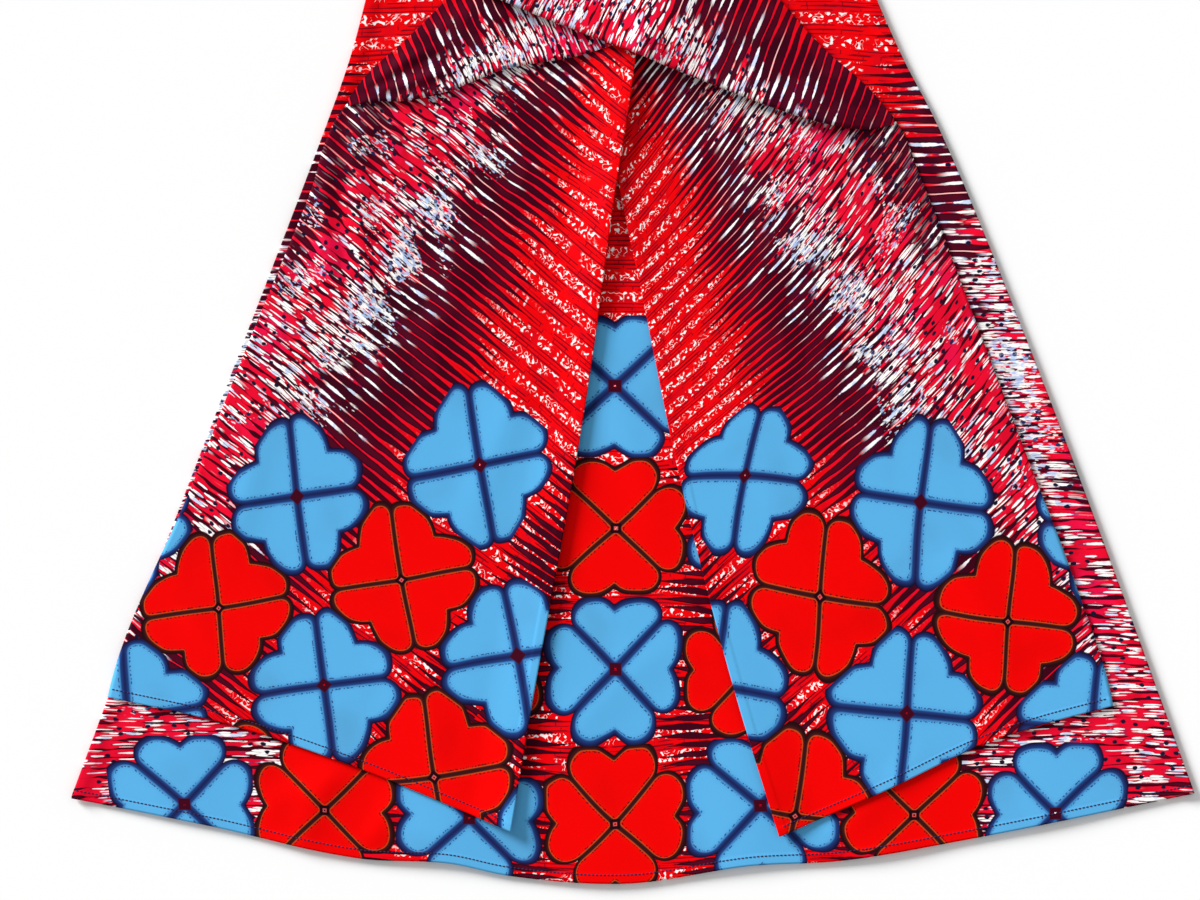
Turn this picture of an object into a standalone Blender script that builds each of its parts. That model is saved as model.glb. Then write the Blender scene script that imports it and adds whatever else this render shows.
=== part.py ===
# A sleeveless A-line dress in printed cotton, laid flat on its back. A front and
# a back bodice join a front and a back skirt at the waist, two overlays cut on
# the bias hang open over the skirt, and two wraps cross over the front.
# Metres, +Z up, +Y toward the neck, the origin under the middle of the dress.

import bmesh
import bpy
import numpy as np

for old in list(bpy.data.objects):
    bpy.data.objects.remove(old, do_unlink=True)

MM = 0.001

# Heights of the cloth, and how the sheets lie on each other
WALL = 1.2 * MM
SEAM = 0.3 * MM
LAYER = WALL + SEAM
RAMP = 30 * MM          # how far outside another sheet's edge a sheet starts to climb
CLEAR = 9 * MM          # and how far outside it the climb is done
SOONER = 12 * MM        # a wrap starts this much sooner than the sheet under it

# The dress along its length, as heights on +Y
WAIST = 155 * MM
NECK_POINT = 575 * MM

# The bodice: half widths across, and heights above the waist
MIDDLE = -12 * MM       # the centre front line, the hip swings to +X
WAIST_HALF = 196 * MM
CHEST_HALF = 232 * MM
ARMHOLE_HALF = 170 * MM
SHOULDER_HALF = 180 * MM
SHOULDER_UP = 390 * MM
UNDERARM_UP = SHOULDER_UP / 2
NECK_HALF = 90 * MM
NECK_FRONT = 105 * MM
NECK_BACK = 32 * MM

# The skirt's two sides, a row per section: height, left edge, right edge (mm)
SIDES = [
    (155, -208, 184),
    (83, -227, 216),
    (35, -244, 241),
    (-125, -305, 308),
    (-317, -379, 381),
    (-505, -449, 449),
]

# The skirt's hem, a row per dip or rise of its edge: across, height (mm)
HEM = [
    (-449, -507),
    (-339, -529),
    (-219, -555),
    (-147, -559),
    (-99, -569),
    (-3, -575),
    (93, -561),
    (165, -557),
    (261, -541),
    (449, -503),
]

# Flutes at the front hem, a row each: across as a share of the width,
# half width as a share, height (mm), length up the skirt (mm)
FLUTES = [
    (0.10, 0.050, 2.5, 150),
    (0.21, 0.045, 3.5, 190),
    (0.33, 0.055, 5.0, 240),
    (0.47, 0.050, 3.0, 160),
    (0.60, 0.050, 4.5, 220),
    (0.73, 0.055, 4.0, 200),
    (0.87, 0.060, 3.0, 170),
]

# The left overlay, a row per section: height, outer edge, inner edge (mm)
LEFT_OVERLAY = [
    (151, -123, 9),
    (95, -177, 3),
    (43, -233, -4),
    (-25, -259, -15),
    (-156, -313, -33),
    (-250, -350, -48),
    (-426, -420, -80),
    (-533, -420, -98),
]
LEFT_OVERLAY_HEM = [(-420, -426), (-326, -447), (-219, -483), (-98, -533)]

# The right overlay, a row per section: height, inner edge, outer edge (mm)
RIGHT_OVERLAY = [
    (151, -24, 89),
    (95, -21, 133),
    (37, -18, 207),
    (-10, -13, 229),
    (-101, 6, 264),
    (-238, 34, 316),
    (-330, 56, 351),
    (-433, 84, 383),
    (-537, 116, 383),
]
RIGHT_OVERLAY_HEM = [(117, -537), (200, -501), (272, -467), (316, -451), (383, -433)]

# The wrap on top, from the left side seam to the right hip, a row per section:
# across, lower edge, upper edge (mm)
WRAP_OVER = [
    (-230, 190, 362),
    (-107, 131, 314),
    (-12, 93, 259),
    (64, 63, 189),
    (117, 43, 131),
    (150, 33, 94),
    (186, 28, 62),
    (208, 31, 37),
]

# The wrap under it, from the right side seam to the left hip
WRAP_UNDER = [
    (-228, 46, 52),
    (-211, 50, 73),
    (-180, 51, 101),
    (-150, 58, 131),
    (-103, 76, 180),
    (-42, 87, 236),
    (53, 119, 296),
    (206, 190, 362),
]

# How far a wrap's lower fold stands up, and over what width it sinks back
FOLD_RISE = 6 * MM
FOLD_RUN = 45 * MM


def line(rows, column, at):
    """A smooth line through one column of a table, level beyond its ends."""
    table = np.array(sorted(rows)) * MM
    x = table[:, 0]
    y = table[:, column]
    run = np.diff(x)
    rise = np.diff(y) / run
    slope = np.concatenate([rise[:1], (rise[:-1] + rise[1:]) / 2, rise[-1:]])
    k = np.clip(np.searchsorted(x, at) - 1, 0, len(run) - 1)
    u = np.clip((at - x[k]) / run[k], 0, 1)
    blend = u * u * (3 - 2 * u)
    bow = run[k] * u * (1 - u)
    ease = bow * ((1 - u) * slope[k] - u * slope[k + 1])
    return y[k] + blend * (y[k + 1] - y[k]) + ease


def step(start, end, at):
    """0 before start, 1 past end, and a soft S between."""
    u = np.clip((at - start) / (end - start), 0, 1)
    return u * u * (3 - 2 * u)


def bodice_half(y):
    """Half width of the bodice, up the side seam and round the armhole."""
    up = y - WAIST
    side = WAIST_HALF + (CHEST_HALF - WAIST_HALF) * np.clip(up / UNDERARM_UP, 0, 1)
    climb = np.clip((up - UNDERARM_UP) / (0.75 * UNDERARM_UP), 0, 1)
    hollow = 1 - np.sqrt(1 - (1 - climb) ** 2)
    arm = ARMHOLE_HALF + (CHEST_HALF - ARMHOLE_HALF) * hollow
    arm = arm + (SHOULDER_HALF - ARMHOLE_HALF) * step(0.1, 0.2, up - UNDERARM_UP)
    return np.where(up <= UNDERARM_UP, side, arm)


def bodice_top(x, scoop):
    """Height of the shoulder line, and of the round neck between its ends."""
    off = np.abs(x - MIDDLE)
    slope = (NECK_POINT - WAIST - SHOULDER_UP) / (SHOULDER_HALF - NECK_HALF)
    shoulder = NECK_POINT - slope * (off - NECK_HALF)
    round_neck = np.sqrt(1 - np.clip(off / NECK_HALF, 0, 1) ** 2)
    return np.where(off < NECK_HALF, NECK_POINT - scoop * round_neck, shoulder)


def inside(x, y, left, right, low, high, sooner=0):
    """1 within an outline and a little outside it, sinking to 0 one ramp away.
    A sheet further up starts its own climb sooner, clear of the one under it."""
    total = 1
    for depth in (x - left, right - x, y - low, high - y):
        total = total * step(-RAMP, -CLEAR, depth + sooner)
    return total


def on_left_overlay(x, y, sooner=0):
    outer = line(LEFT_OVERLAY, 1, y)
    inner = line(LEFT_OVERLAY, 2, y)
    low = line(LEFT_OVERLAY_HEM, 1, x)
    return inside(x, y, outer, inner, low, WAIST, sooner)


def on_right_overlay(x, y, sooner=0):
    inner = line(RIGHT_OVERLAY, 1, y)
    outer = line(RIGHT_OVERLAY, 2, y)
    low = line(RIGHT_OVERLAY_HEM, 1, x)
    return inside(x, y, inner, outer, low, WAIST, sooner)


def on_wrap_under(x, y, sooner=0):
    low = line(WRAP_UNDER, 1, x)
    high = line(WRAP_UNDER, 2, x)
    return inside(x, y, WRAP_UNDER[0][0] * MM, CHEST_HALF, low, high, sooner)


def flute(x, y):
    """How far the front skirt's hem lifts, in folds that die out going up."""
    left = line(SIDES, 1, y)
    right = line(SIDES, 2, y)
    share = (x - left) / (right - left)
    above = y - line(HEM, 1, x)
    total = 0 * x
    for across, half, height, length in FLUTES:
        crest = np.exp(-(((share - across) / half) ** 2))
        total = total + height * MM * crest * (1 - step(0, length * MM, above))
    return total


def front_top(x, y):
    """Upper face of the front bodice and skirt, which the overlays lie on."""
    return LAYER + WALL + flute(x, y)


def under_right_overlay(x, y):
    slack = 0.6 * MM * step(130 * MM, 400 * MM, WAIST - y)
    edge = x - line(RIGHT_OVERLAY, 1, y)
    lift = 2.5 * MM * (1 - step(0, 40 * MM, edge)) * step(200 * MM, 420 * MM, WAIST - y)
    return front_top(x, y) + SEAM + slack + lift


def under_left_overlay(x, y):
    slack = 0.6 * MM * step(130 * MM, 400 * MM, WAIST - y)
    edge = line(LEFT_OVERLAY, 2, y) - x
    lift = 3.0 * MM * (1 - step(0, 40 * MM, edge)) * step(200 * MM, 420 * MM, WAIST - y)
    return front_top(x, y) + SEAM + slack + lift + LAYER * on_right_overlay(x, y)


def under_lower_wrap(x, y):
    layers = on_left_overlay(x, y, SOONER) + on_right_overlay(x, y, SOONER)
    above = y - line(WRAP_UNDER, 1, x)
    fold = FOLD_RISE * (1 - step(0, FOLD_RUN, above)) * (1 - step(-60 * MM, -20 * MM, x))
    fold = fold * step(-228 * MM, -150 * MM, x)
    return front_top(x, y) + SEAM + LAYER * layers + 0.5 * fold


def under_upper_wrap(x, y):
    layers = on_left_overlay(x, y, 2 * SOONER) + on_right_overlay(x, y, 2 * SOONER)
    layers = layers + on_wrap_under(x, y, SOONER)
    above = y - line(WRAP_OVER, 1, x)
    fold = FOLD_RISE * (1 - step(0, FOLD_RUN, above)) * (1 - step(110 * MM, 190 * MM, x))
    fold = fold * step(-200 * MM, -110 * MM, x)
    own = (1 - step(-60 * MM, -20 * MM, x)) * step(-228 * MM, -150 * MM, x)
    below = y - line(WRAP_UNDER, 1, x)
    bump = 0.5 * FOLD_RISE * (1 - step(0, FOLD_RUN, below)) * own
    return front_top(x, y) + SEAM + LAYER * layers + fold + bump


dress = bpy.data.collections.new("dress")
bpy.context.scene.collection.children.link(dress)


def sheet(name, grid, edges, under, colour, warp=None):
    """One piece of cloth: a grid laid between four edges, with its thickness."""
    bm = bmesh.new()
    bmesh.ops.create_grid(bm, x_segments=grid[0], y_segments=grid[1], size=0.5)
    s = np.array([v.co.x + 0.5 for v in bm.verts])
    t = np.array([v.co.y + 0.5 for v in bm.verts])
    if warp:
        s = warp(s)
    left, right, low, high = edges
    x = 0 * s
    y = 0 * s
    for _ in range(40):
        x = left(y) + s * (right(y) - left(y))
        y = low(x) + t * (high(x) - low(x))
    for v, place in zip(bm.verts, np.stack([x, y, under(x, y)], axis=1)):
        v.co = place
    mesh = bpy.data.meshes.new(name)
    bm.to_mesh(mesh)
    bm.free()
    mesh.shade_smooth()
    mesh.set_sharp_from_angle(angle=0.6)
    cloth = bpy.data.materials.new(name + "_cotton")
    cloth.use_nodes = True
    look = cloth.node_tree.nodes["Principled BSDF"]
    look.inputs["Base Color"].default_value = (*colour, 1)
    look.inputs["Roughness"].default_value = 0.75
    look.inputs["Metallic"].default_value = 0.0
    mesh.materials.append(cloth)
    piece = bpy.data.objects.new(name, mesh)
    dress.objects.link(piece)
    thick = piece.modifiers.new("cloth", "SOLIDIFY")
    thick.thickness = WALL
    thick.offset = 1.0
    return piece


def at_height(height):
    return lambda x, y: height + 0 * x


def side_left(y):
    return line(SIDES, 1, y)


def side_right(y):
    return line(SIDES, 2, y)


def hem(x):
    return line(HEM, 1, x)


def waist_seam(x):
    return WAIST - SEAM / 2 + 0 * x


# The skirt: the back lies flat on the table, the front on it with its flutes.
sheet("skirt_back", (20, 8), (side_left, side_right, hem, waist_seam), at_height(0), (0.42, 0.02, 0.04))
sheet(
    "skirt_front",
    (48, 12),
    (side_left, side_right, hem, waist_seam),
    lambda x, y: front_top(x, y) - WALL,
    (0.55, 0.03, 0.05),
)


def bodice_left(y):
    return MIDDLE - bodice_half(y)


def bodice_right(y):
    return MIDDLE + bodice_half(y)


def bodice_low(x):
    return WAIST + SEAM / 2 + 0 * x


def round_columns(s):
    """Columns drawn together at the neck's two ends, where its curve is steep."""
    u = 2 * s - 1
    middle = 0.5 * np.sin(np.pi * u)
    return 0.5 + 0.5 * np.where(np.abs(u) < 0.5, middle, u)


# The bodice: both halves share the outline, and the front's neck is deeper.
for name, scoop, height in (
    ("bodice_back", NECK_BACK, 0.0),
    ("bodice_front", NECK_FRONT, LAYER),
):
    sheet(
        name,
        (24, 12),
        (bodice_left, bodice_right, bodice_low, lambda x, d=scoop: bodice_top(x, d)),
        at_height(height),
        (0.60, 0.02, 0.03),
        warp=round_columns,
    )

# The overlays: the right one first, and the left one over its top inner corner.
sheet(
    "overlay_right",
    (14, 18),
    (
        lambda y: line(RIGHT_OVERLAY, 1, y),
        lambda y: line(RIGHT_OVERLAY, 2, y),
        lambda x: line(RIGHT_OVERLAY_HEM, 1, x),
        waist_seam,
    ),
    under_right_overlay,
    (0.45, 0.02, 0.06),
)
sheet(
    "overlay_left",
    (16, 18),
    (
        lambda y: line(LEFT_OVERLAY, 1, y),
        lambda y: line(LEFT_OVERLAY, 2, y),
        lambda x: line(LEFT_OVERLAY_HEM, 1, x),
        waist_seam,
    ),
    under_left_overlay,
    (0.45, 0.02, 0.06),
    warp=lambda s: 1 - (1 - s) ** 1.5,
)

# The wraps: each runs from a side seam of the bodice to the other side's hip.
sheet(
    "wrap_under",
    (24, 10),
    (
        lambda y: WRAP_UNDER[0][0] * MM + 0 * y,
        bodice_right,
        lambda x: line(WRAP_UNDER, 1, x),
        lambda x: line(WRAP_UNDER, 2, x),
    ),
    under_lower_wrap,
    (0.30, 0.01, 0.04),
)
sheet(
    "wrap_over",
    (24, 10),
    (
        bodice_left,
        lambda y: WRAP_OVER[-1][0] * MM + 0 * y,
        lambda x: line(WRAP_OVER, 1, x),
        lambda x: line(WRAP_OVER, 2, x),
    ),
    under_upper_wrap,
    (0.30, 0.01, 0.04),
)
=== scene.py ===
import bmesh
import bpy
import numpy as np
from mathutils import Matrix, Vector


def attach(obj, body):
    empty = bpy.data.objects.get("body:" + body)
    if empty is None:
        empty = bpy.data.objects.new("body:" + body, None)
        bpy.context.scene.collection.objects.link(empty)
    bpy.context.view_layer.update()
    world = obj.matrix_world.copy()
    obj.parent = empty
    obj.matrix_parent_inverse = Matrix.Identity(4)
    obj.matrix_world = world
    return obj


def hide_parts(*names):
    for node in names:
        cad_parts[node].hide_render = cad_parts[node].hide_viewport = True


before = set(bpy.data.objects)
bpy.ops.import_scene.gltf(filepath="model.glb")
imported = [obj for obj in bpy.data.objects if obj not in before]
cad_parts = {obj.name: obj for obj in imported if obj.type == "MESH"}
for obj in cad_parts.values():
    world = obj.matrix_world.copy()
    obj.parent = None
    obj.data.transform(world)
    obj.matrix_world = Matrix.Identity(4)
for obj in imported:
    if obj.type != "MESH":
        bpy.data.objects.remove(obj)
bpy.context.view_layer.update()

# The cloth: plain-weave cotton, wax-printed right through, so both faces carry the
# print. Red and blue four-petal flowers stand on a lattice near the hem, and streaks
# run across the panel above them. Every piece of the dress is cut from it.
MM = 0.001
RED = (0.84, 0.0, 0.002, 1)
CRIMSON = (0.80, 0.003, 0.030, 1)
DULL_RED = (0.50, 0.001, 0.012, 1)
PINK = (0.84, 0.006, 0.090, 1)
MAROON = (0.075, 0.001, 0.012, 1)
DEEP_MAROON = (0.030, 0.0, 0.006, 1)
NEAR_BLACK = (0.014, 0.001, 0.004, 1)
NAVY = (0.012, 0.022, 0.12, 1)
PALE_BLUE = (0.36, 0.52, 0.85, 1)
FROST_BLUE = (0.40, 0.58, 0.90, 1)
WHITE = (1.0, 0.97, 0.95, 1)
SALMON = (0.90, 0.70, 0.68, 1)
RULE_RED = (0.10, 0.001, 0.008, 1)
DOT_BLACK = (0.008, 0.006, 0.026, 1)
# painted shade, laid in soft patches over the petals for their faint creases
PETAL_PAINTED_SHADE = (0.05, 0.0, 0.0, 1)
RED_FLOWER_DASH = (0.03, 0.003, 0.004, 1)
RED_FLOWER_EYE = (0.75, 0.10, 0.10, 1)
BLUE_FLOWER_EYE = (0.050, 0.001, 0.010, 1)
STREAKS = 15            # streaks to a flower's spacing
WORM_ROWS = 6.2         # rows of small white marks to a flower's spacing
PANEL_WIDE = 4.0        # how far out the tables below reach, in flowers
PETAL_BLUE = [
    (-0.050, (0.098, 0.420, 0.760, 1)),
    (-0.026, (0.090, 0.385, 0.730, 1)),
    (-0.012, (0.052, 0.225, 0.520, 1)),
    (-0.003, (0.014, 0.050, 0.200, 1)),
    (0.014, (0.010, 0.020, 0.105, 1)),
    (0.034, (0.007, 0.003, 0.022, 1)),
]
PETAL_RED = [
    (-0.050, (0.860, 0.000, 0.000, 1)),
    (-0.013, (0.840, 0.002, 0.000, 1)),
    (-0.008, (0.520, 0.080, 0.012, 1)),
    (-0.002, (0.060, 0.008, 0.008, 1)),
    (0.016, (0.020, 0.003, 0.004, 1)),
    (0.040, (0.012, 0.001, 0.003, 1)),
]
# Half width of a red streak as a share of its row, by distance from the middle
SPIKES = [(1.30, 0.50), (1.44, 0.38), (1.62, 0.18), (1.82, 0.08), (2.20, 0.05), (2.40, 0.0)]
# The same beyond the dark band, and between the flowers of the skirt and the overlays
OUTSIDE = [(2.05, 0.05), (2.20, 0.18), (2.40, 0.36), (2.75, 0.44), (3.10, 0.46)]
SKIRT_BLADES = [(0.0, 0.50), (0.34, 0.50), (0.50, 0.22), (0.66, 0.06), (0.78, 0.30), (0.90, 0.50)]
OVERLAY_BLADES = [(0.0, 0.30), (0.10, 0.06), (0.30, 0.12), (0.45, 0.32), (0.62, 0.50)]
# Pale strokes of the outer part: strokes to a flower's spacing, rows of them to a streak,
# half width, chance that a place stays bare, and how far out they begin
STROKES = [
    (3.4, 1.0, 0.09, 0.74, 1.88),
    (8.0, 2.0, 0.17, 0.80, 2.20),
    (6.0, 3.0, 0.10, 0.73, 2.26),
]
WEAVE = 12566.0         # two threads to a millimetre, as an angle to a metre
WEAVE_DEPTH = 0.06 * MM


class Term:
    """A number in the print's node tree, that sums like any other."""

    def __init__(self, socket):
        self.socket = socket

    def __add__(self, other):
        return calc("ADD", self, other)

    def __sub__(self, other):
        return calc("SUBTRACT", self, other)

    def __mul__(self, other):
        return calc("MULTIPLY", self, other)

    def __truediv__(self, other):
        return calc("DIVIDE", self, other)


def feed(socket, value):
    """Joins a term to a socket, or sets a plain value."""
    if isinstance(value, Term):
        socket.id_data.links.new(value.socket, socket)
    else:
        socket.default_value = value


def calc(kind, *values):
    """One Math node."""
    node = values[0].socket.id_data.nodes.new("ShaderNodeMath")
    node.operation = kind
    for socket, value in zip(node.inputs, values):
        feed(socket, value)
    return Term(node.outputs[0])


def within(x, limit):
    """1 below a limit that may itself vary, 0 above."""
    return soft(x - limit, 0.004, -0.004)


def soft(x, start, end):
    """0 before start, 1 past end, in the print's tree."""
    node = x.socket.id_data.nodes.new("ShaderNodeMapRange")
    node.interpolation_type = "SMOOTHSTEP"
    feed(node.inputs["Value"], x)
    node.inputs["From Min"].default_value = min(start, end)
    node.inputs["From Max"].default_value = max(start, end)
    node.inputs["To Min"].default_value = 0.0 if start < end else 1.0
    node.inputs["To Max"].default_value = 1.0 if start < end else 0.0
    return Term(node.outputs["Result"])


def place(u, v):
    """A point made from two terms."""
    node = u.socket.id_data.nodes.new("ShaderNodeCombineXYZ")
    feed(node.inputs[0], u)
    feed(node.inputs[1], v)
    return Term(node.outputs[0])


def noise(u, v, scale, detail=0.0):
    """Soft patches from 0 to 1, about scale of them to a flower's spacing."""
    node = u.socket.id_data.nodes.new("ShaderNodeTexNoise")
    node.noise_dimensions = "2D"
    node.inputs["Scale"].default_value = scale
    node.inputs["Detail"].default_value = detail
    feed(node.inputs["Vector"], place(u, v))
    return Term(node.outputs[0])


def chance(u, v):
    """A number from 0 to 1 that is the same all over one cell."""
    node = u.socket.id_data.nodes.new("ShaderNodeTexWhiteNoise")
    node.noise_dimensions = "2D"
    feed(node.inputs["Vector"], place(u, v))
    return Term(node.outputs["Value"])


def ramp(x, start, end, stops):
    """Colours or values set along x, from a table of stops."""
    node = x.socket.id_data.nodes.new("ShaderNodeValToRGB")
    band = node.color_ramp
    while len(band.elements) < len(stops):
        band.elements.new(0.5)
    for element, (at, colour) in zip(band.elements, stops):
        element.position = (at - start) / (end - start)
        element.color = colour if isinstance(colour, tuple) else (colour, colour, colour, 1)
    feed(node.inputs["Fac"], (x - start) / (end - start))
    return Term(node.outputs["Color"])


def paint(under, over, share):
    """over laid on under, as far as share says."""
    node = share.socket.id_data.nodes.new("ShaderNodeMix")
    node.data_type = "RGBA"
    feed(node.inputs["Factor"], share)
    feed(node.inputs[6], under)
    feed(node.inputs[7], over)
    return Term(node.outputs[2])


def cotton(name, highest, heart, glow, blades):
    """The printed cotton. On the middle column the flowers go up to row highest, heart
    shapes a petal: how far it reaches at its notch, and on from there, glow is how far
    from the middle the palest patches lie, and blades narrows the streaks near it."""
    cloth = bpy.data.materials.new(name)
    cloth.use_nodes = True
    nodes = cloth.node_tree.nodes
    look = nodes["Principled BSDF"]
    uv_node = nodes.new("ShaderNodeUVMap")
    uv_node.uv_map = "print"
    split = nodes.new("ShaderNodeSeparateXYZ")
    cloth.node_tree.links.new(uv_node.outputs[0], split.inputs[0])
    u0, v0 = Term(split.outputs[0]), Term(split.outputs[1])

    def plain(colour):
        node = nodes.new("ShaderNodeRGB")
        node.outputs[0].default_value = colour
        return Term(node.outputs[0])

    # hand-cut blocks: nothing is quite straight
    u = u0 + (noise(u0, v0, 1.7) - 0.5) * 0.03
    v = v0 + (noise(u0 + 31.0, v0, 1.7) - 0.5) * 0.03

    # flowers
    cell_u, cell_v = calc("ROUND", u), calc("ROUND", v)
    du, dv = calc("ABSOLUTE", u - cell_u), calc("ABSOLUTE", v - cell_v)
    a = calc("MAXIMUM", calc("MAXIMUM", du, dv), 0.001)
    b = calc("MINIMUM", du, dv)
    b = calc("SQRT", b * b + 0.0001)
    odd = calc("PINGPONG", cell_u + cell_v, 1.0)
    even = odd * -1.0 + 1.0
    tilt = b / a
    notch, bulge, close = heart
    right, upper = calc("SIGN", u - cell_u), calc("SIGN", v - cell_v)
    petal = chance(cell_u + right * 0.25, cell_v + upper * 0.25)
    reach = tilt * bulge - tilt * tilt * (petal * -0.11 + (close + 0.02)) + notch
    reach = reach * (chance(cell_u, cell_v) * 0.04 + 0.98)
    radius = calc("SQRT", du * du + dv * dv)
    radius = radius + (noise(u, v, 5.0) - 0.5) * 0.045
    side = odd * 0.010 + 0.010 - (a - b) * 0.7071
    edge = calc("SMOOTH_MAX", radius - reach, side, 0.07)
    edge = calc("SMOOTH_MAX", edge, a - 0.482, 0.02)
    far = calc("ABSOLUTE", cell_u)
    there = soft(far + cell_v, 3.6, 3.4) * soft(cell_v, -1.6, -1.4)
    there = there * soft(cell_v - far * 9.0, highest + 0.6, highest + 0.4)
    rim = odd * 0.008 + 0.032
    flower = there * soft(edge - rim, 0.006, -0.004)
    petals = paint(ramp(edge, -0.05, 0.05, PETAL_RED), ramp(edge, -0.05, 0.05, PETAL_BLUE), odd)
    # painted shade: soft darker patches over the petals, standing in for their faint creases and
    # shading
    painted_shade = (noise(u0, v0, 2.0, 1.0) - 0.5) * 0.5
    petals = paint(petals, PETAL_PAINTED_SHADE, soft(painted_shade, 0.0, 0.25) * 0.16)
    dash_at = calc("ABSOLUTE", edge + 0.023 - even * 0.006)
    dashes = soft(dash_at, 0.007, 0.003) * soft(noise(u, v, 70.0), 0.55, 0.59)
    petals = paint(petals, paint(plain(RED_FLOWER_DASH), NAVY, odd), dashes * 0.85)
    eye = paint(plain(NEAR_BLACK), BLUE_FLOWER_EYE, odd)
    petals = paint(petals, eye, within(a, odd * 0.006 + 0.036))
    petals = paint(petals, RED_FLOWER_EYE, soft(a, 0.016, 0.010) * even)

    # ground: dark blades and red streaks across the panel, in rows
    w = calc("ABSOLUTE", u)
    row = v * STREAKS + (noise(u0, v0, 1.1) - 0.5) * 0.7 + (noise(u0, v0, 6.0) - 0.5) * 0.16
    row_id = calc("FLOOR", row)
    off = calc("ABSOLUTE", calc("FRACT", row) - 0.5)
    half = calc("SIGN", u) * 7.3
    luck, luck2 = chance(row_id, half), chance(row_id, half + 40.0)
    rise = calc("MINIMUM", calc("MAXIMUM", v, 2.0), 5.4) - 3.0
    inner = w - rise * 0.13 + (luck - 0.5) * 0.24 - soft(v, 2.3, 1.7) * 0.10
    outer = w + (luck2 - 0.5) * 0.34
    blade = ramp(w + (luck - 0.5) * 0.24, 0.0, PANEL_WIDE, blades) + soft(v, 2.3, 2.9)
    spike = calc("MINIMUM", ramp(inner, 0.0, PANEL_WIDE, SPIKES), blade)
    swell = soft(noise(u * 5.0, row_id * 3.7, 1.0), 0.30, 0.62)
    rim_band = soft(w + (luck2 - 0.5) * 0.16, 2.90, 3.08) * soft(v, 1.9, 2.4) * soft(v, 4.1, 3.8)
    outward = ramp(outer, 0.0, PANEL_WIDE, OUTSIDE)
    outward = outward * (swell * 0.60 + 0.50) * (rim_band * -0.72 + 1.0)
    spike = calc("MAXIMUM", spike, outward)
    grain = noise(u, v, 34.0, 1.0)
    dark = soft(off + (grain - 0.5) * 0.05 - spike, -0.035, 0.035)
    tone = noise(u0, v0, 7.0, 2.0)
    ground = paint(plain(RED), CRIMSON, soft(inner, 1.4, 1.9) * 0.9)
    pink = soft(w, 2.2, 2.6) * soft(noise(u0 + 7.0, v0, 2.6), 0.52, 0.64) * (rim_band * -1.0 + 1.0)
    ground = paint(ground, PINK, pink * soft(v, 0.6, 1.8) * 0.5)
    ground = paint(ground, DULL_RED, soft(tone, 0.50, 0.68) * 0.4)

    # small white marks like writing, in rows over the red, ruled between
    worm_row = v * WORM_ROWS + (noise(u0, v0, 1.1) - 0.5) * 0.5
    in_row = calc("ABSOLUTE", calc("FRACT", worm_row) - 0.5)
    swirl = calc("ABSOLUTE", noise(u, v, 26.0) - 0.5)
    worms = soft(swirl, 0.030, 0.014) * soft(noise(u + 50.0, v, 14.0), 0.43, 0.49)
    spots = soft(noise(u + 80.0, v, 36.0), 0.66, 0.69)
    on_red = soft(inner, 1.62, 1.30)
    marks = calc("MAXIMUM", worms, spots) * soft(in_row, 0.25, 0.20) * on_red
    marks = marks * soft(noise(u0 + 20.0, v0, 4.0, 1.0), 0.28, 0.38)
    waver = (noise(u * 0.25, v, 16.0) - 0.5) * 0.06
    rules = soft(calc("ABSOLUTE", in_row + waver - 0.32), 0.035, 0.015)
    rules = calc("MAXIMUM", rules, soft(in_row + waver, 0.462, 0.480))
    rules = rules * soft(noise(u * 0.5, v, 12.0), 0.36, 0.44)
    ticks = soft(calc("FRACT", u * 9.0 + chance(calc("FLOOR", worm_row), 3.0)), 0.10, 0.05)
    ticks = ticks * soft(in_row, 0.30, 0.33)
    rules = calc("MAXIMUM", rules, ticks * soft(grain, 0.45, 0.55) * 0.8)
    ground = paint(ground, RULE_RED, rules * on_red * 0.85)
    ground = paint(ground, WHITE, marks)

    # the dark blades, and fine light lines between them
    shade = paint(plain(NEAR_BLACK), MAROON, soft(off - spike, 0.05, 0.17))
    shade = paint(shade, DEEP_MAROON, soft(noise(u0, v0, 3.0), 0.45, 0.60) * 0.7)
    ground = paint(ground, shade, dark)
    lit = soft(off, 0.07, 0.03) * (soft(outer, 1.80, 2.00) * soft(outer, 2.5, 2.3) + rim_band * 0.6)
    lit = lit * soft(noise(u * 2.0, row_id * 5.1, 1.0), 0.50, 0.58)
    ground = paint(ground, SALMON, lit * 0.9)

    # outer part: long white slivers, then shorter dashes in finer rows, with ink round
    # them, and dark dots
    out = soft(outer, 2.05, 2.20)
    patch = (noise(u0 + 11.0, v0, 2.2, 1.0) - 0.5) * 0.8
    light = soft(w + (v - 2.1) * 0.2 - glow, 0.50, 0.16) * soft(v, 1.2, 1.8)
    light = calc("MAXIMUM", light, soft(v, 3.9, 4.3))
    light = calc("MAXIMUM", light, soft(v, 1.7, 1.0) * 0.30) * 0.42
    ink = paint(plain(NEAR_BLACK), NAVY, soft(noise(u0 + 5.0, v0, 6.0), 0.40, 0.50))
    pale = paint(plain(WHITE), PALE_BLUE, soft(noise(u0 + 3.0, v0, 9.0), 0.58, 0.66) * 0.6)
    for size, rows, thin, share, start in STROKES:
        lane = row * rows
        lane_id = calc("FLOOR", lane)
        beside = calc("ABSOLUTE", calc("FRACT", lane) - 0.5)
        slot = u * size + chance(lane_id, half + 3.0) * 9.0
        slot_id = calc("FLOOR", slot)
        along = calc("FRACT", slot) - 0.5
        fate, girth = chance(slot_id, lane_id + size), chance(slot_id + 70.0, lane_id + 0.5)
        lens = calc("POWER", along / (girth * 0.16 + 0.30), 2.0)
        lens = lens + calc("POWER", beside / (girth * 0.13 + thin), 2.0)
        lens = calc("SQRT", lens) + (grain - 0.5) * 0.5
        here = soft(fate + light + patch, share - 0.04, share + 0.04)
        here = soft(outer, start, start + 0.12) * here
        here = here * (rim_band * (min(rows, 2.0) - 1.0) * -0.9 + 1.0)
        ground = paint(ground, ink, here * soft(lens, 1.45, 1.22) * 0.5)
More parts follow.
